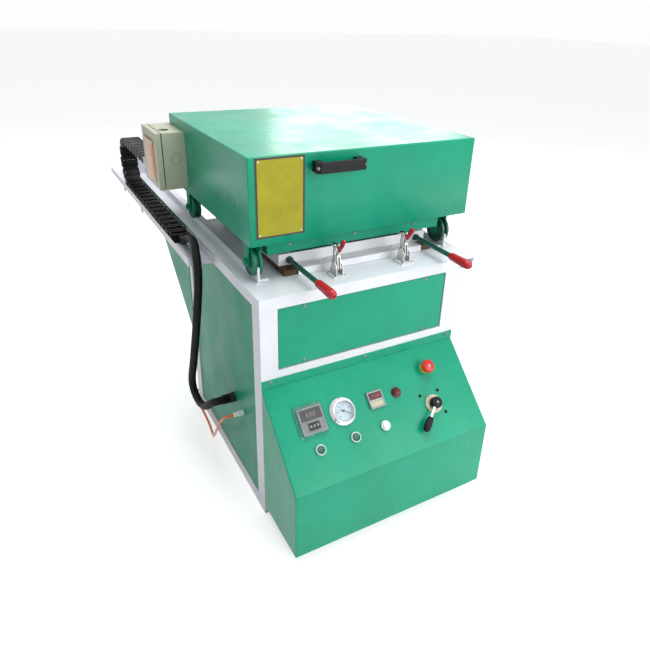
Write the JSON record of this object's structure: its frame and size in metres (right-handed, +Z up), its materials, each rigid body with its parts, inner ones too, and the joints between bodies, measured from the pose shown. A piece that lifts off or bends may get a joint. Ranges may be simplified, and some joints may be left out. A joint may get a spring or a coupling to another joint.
{
  "type": "hobby vacuum forming machine",
  "caption": "Floor-standing vacuum forming machine with a sloping control console, clamp frame, toggle clamps and a heater hood that rolls back on a track",
  "frame": {"origin": "under the middle of the front foot rail, on the floor", "axes": "+X to the operator's right, +Y to the back along the hood track, +Z up"},
  "size_m": [0.8077, 1.76, 1.048],
  "materials": {
    "frame_white": "satin white paint",
    "green_hood": "glossy emerald paint",
    "green_panel": "glossy emerald paint",
    "green_dark": "glossy dark emerald paint",
    "green_rod": "dark green paint",
    "zinc": "zinc plated",
    "gauge_metal": "brushed",
    "chrome": "polished",
    "aluminium": "machined",
    "heater": "heat-stained",
    "pump_paint": "machine paint",
    "brown_rubber": "matt seal strip",
    "black_rubber": "ribbed, matt",
    "black_plastic": "matt",
    "dark_plastic": "matt",
    "green_wheel": "painted, with a bare dark groove",
    "beige_plastic": "matt moulded",
    "amber_window": "tinted, clear",
    "orange_tube": "smooth",
    "red_grip": "moulded",
    "red_plastic": "moulded",
    "yellow_plastic": "moulded",
    "maroon_lamp": "lens",
    "green_button": "moulded",
    "white_button": "moulded",
    "yellow_enamel": "satin enamel",
    "cream_plastic": "moulded"
  },
  "bodies": {
    "cabinet": {"base_frame": "frame_white", "rear_extension": "frame_white", "side_panels": "green_dark", "front_panel": "green_panel", "rear_panel": "green_panel", "console_housing": "green_panel", "table_top": "frame_white", "vacuum_box": "zinc", "seal_strip": "brown_rubber", "clamp_hinges": "zinc", "track_rails": "frame_white", "cable_tray": "frame_white", "chain_lower_run": "black_plastic", "conduit_hose": "black_rubber", "cable_glands": "black_plastic", "air_tube": "orange_tube", "air_tube_coil": "orange_tube", "air_plug": "zinc", "temperature_controller": "dark_plastic", "gauge_case": "gauge_metal", "timer_module": "dark_plastic", "pilot_lamp": "maroon_lamp", "estop_collar": "yellow_plastic", "button_bezels": "chrome", "valve_plate": "cream_plastic", "lift_cylinder": "aluminium", "vacuum_pump": "pump_paint", "toggle_bases": "zinc"},
    "hood": {"hood_shell": "green_hood", "hood_placard": "yellow_enamel", "hood_skirt": "green_dark", "heater_bank": "heater", "hood_handle": "black_plastic", "wheel_forks": "green_dark", "switch_box_base": "beige_plastic", "switch_box_cover": "beige_plastic", "chain_bracket": "frame_white", "chain_upper_run": "black_plastic"},
    "front_left_wheel": {"front_left_wheel": "green_wheel"},
    "front_right_wheel": {"front_right_wheel": "green_wheel"},
    "rear_left_wheel": {"rear_left_wheel": "green_wheel"},
    "rear_right_wheel": {"rear_right_wheel": "green_wheel"},
    "chain_bend": {"chain_bend": "black_plastic"},
    "box_flap": {"switch_box_window": "amber_window"},
    "clamp": {"clamp_frame": "frame_white", "lift_rods": "green_rod", "lift_grips": "red_grip"},
    "platen": {"mould_platen": "aluminium"},
    "left_toggle_arm": {"left_toggle_arm": "zinc"},
    "left_toggle_link": {"left_toggle_link": "zinc"},
    "left_toggle_handle": {"left_toggle_handle": "red_grip"},
    "right_toggle_arm": {"right_toggle_arm": "zinc"},
    "right_toggle_link": {"right_toggle_link": "zinc"},
    "right_toggle_handle": {"right_toggle_handle": "red_grip"},
    "valve_lever": {"valve_lever": "black_plastic"},
    "estop_button": {"estop_button": "red_plastic"},
    "green_button_left": {"green_button_left": "green_button"},
    "green_button_right": {"green_button_right": "green_button"},
    "white_button": {"white_button": "white_button"},
    "gauge_needle": {"gauge_needle": "black_plastic"}
  },
  "joints": [
    {"name": "hood_slide", "type": "slide", "parent": "cabinet", "child": "hood", "axis": [0, 1, 0], "range_m": [0, 0.64], "deforming": ["chain_upper_run"]},
    {"name": "front_left_wheel_spin", "type": "hinge", "parent": "hood", "child": "front_left_wheel", "pos_m": [-0.28, 0.113, 0.7643], "axis": [1, 0, 0], "continuous": true},
    {"name": "front_right_wheel_spin", "type": "hinge", "parent": "hood", "child": "front_right_wheel", "pos_m": [0.336, 0.113, 0.7643], "axis": [1, 0, 0], "continuous": true},
    {"name": "rear_left_wheel_spin", "type": "hinge", "parent": "hood", "child": "rear_left_wheel", "pos_m": [-0.28, 0.635, 0.7643], "axis": [1, 0, 0], "continuous": true},
    {"name": "rear_right_wheel_spin", "type": "hinge", "parent": "hood", "child": "rear_right_wheel", "pos_m": [0.336, 0.635, 0.7643], "axis": [1, 0, 0], "continuous": true},
    {"name": "chain_bend_travel", "type": "slide", "parent": "cabinet", "child": "chain_bend", "axis": [0, 1, 0], "range_m": [0, 0.32]},
    {"name": "box_flap_hinge", "type": "hinge", "parent": "hood", "child": "box_flap", "pos_m": [-0.3983, 0.6785, 0.984], "axis": [0, 1, 0], "range_deg": [0, 100]},
    {"name": "clamp_hinge", "type": "hinge", "parent": "cabinet", "child": "clamp", "pos_m": [0.043, 0.592, 0.7465], "axis": [-1, 0, 0], "range_deg": [0, 2]},
    {"name": "platen_lift", "type": "slide", "parent": "cabinet", "child": "platen", "axis": [0, 0, 1], "range_m": [0, 0.14]},
    {"name": "left_clamp_arm", "type": "hinge", "parent": "cabinet", "child": "left_toggle_arm", "pos_m": [-0.068, 0.039, 0.752], "axis": [1, 0, 0], "range_deg": [-90, 0]},
    {"name": "left_clamp_handle", "type": "hinge", "parent": "left_toggle_arm", "child": "left_toggle_handle", "pos_m": [-0.068, 0.0373, 0.7707], "axis": [1, 0, 0], "range_deg": [0, 148]},
    {"name": "left_clamp_link", "type": "hinge", "parent": "cabinet", "child": "left_toggle_link", "pos_m": [-0.068, 0.02363, 0.7367], "axis": [1, 0, 0], "range_deg": [-61.6, 0]},
    {"name": "right_clamp_arm", "type": "hinge", "parent": "cabinet", "child": "right_toggle_arm", "pos_m": [0.154, 0.039, 0.752], "axis": [1, 0, 0], "range_deg": [-90, 0]},
    {"name": "right_clamp_handle", "type": "hinge", "parent": "right_toggle_arm", "child": "right_toggle_handle", "pos_m": [0.154, 0.0373, 0.7707], "axis": [1, 0, 0], "range_deg": [0, 148]},
    {"name": "right_clamp_link", "type": "hinge", "parent": "cabinet", "child": "right_toggle_link", "pos_m": [0.154, 0.02363, 0.7367], "axis": [1, 0, 0], "range_deg": [-61.6, 0]},
    {"name": "valve_turn", "type": "hinge", "parent": "cabinet", "child": "valve_lever", "pos_m": [0.1685, -0.16692, 0.33785], "axis": [0, -0.6904, 0.7234], "range_deg": [-45, 45]},
    {"name": "estop_push", "type": "slide", "parent": "cabinet", "child": "estop_button", "axis": [0, 0.6904, -0.7234], "range_m": [0, 0.004], "stiffness_N_per_m": 500, "springref_m": -0.002},
    {"name": "green_button_left_push", "type": "slide", "parent": "cabinet", "child": "green_button_left", "axis": [0, 0.6904, -0.7234], "range_m": [0, 0.004], "stiffness_N_per_m": 300, "springref_m": -0.001},
    {"name": "green_button_right_push", "type": "slide", "parent": "cabinet", "child": "green_button_right", "axis": [0, 0.6904, -0.7234], "range_m": [0, 0.004], "stiffness_N_per_m": 300, "springref_m": -0.001},
    {"name": "white_button_push", "type": "slide", "parent": "cabinet", "child": "white_button", "axis": [0, 0.6904, -0.7234], "range_m": [0, 0.004], "stiffness_N_per_m": 300, "springref_m": -0.001},
    {"name": "gauge_needle_turn", "type": "hinge", "parent": "cabinet", "child": "gauge_needle", "pos_m": [-0.1185, -0.11658, 0.37345], "axis": [0, -0.6904, 0.7234], "range_deg": [0, 255], "stiffness_Nm_per_rad": 0.002}
  ],
  "couplings": [
    {"joint": "front_left_wheel_spin", "follows": "hood_slide", "rad_per_m": -31.25},
    {"joint": "front_right_wheel_spin", "follows": "hood_slide", "rad_per_m": -31.25},
    {"joint": "rear_left_wheel_spin", "follows": "hood_slide", "rad_per_m": -31.25},
    {"joint": "rear_right_wheel_spin", "follows": "hood_slide", "rad_per_m": -31.25},
    {"joint": "chain_bend_travel", "follows": "hood_slide", "ratio": 0.5},
    {"joint": "left_clamp_handle", "follows": "left_clamp_arm", "ratio": -1.6444},
    {"joint": "left_clamp_link", "follows": "left_clamp_arm", "ratio": 0.6844},
    {"joint": "right_clamp_handle", "follows": "right_clamp_arm", "ratio": -1.6444},
    {"joint": "right_clamp_link", "follows": "right_clamp_arm", "ratio": 0.6844}
  ]
}
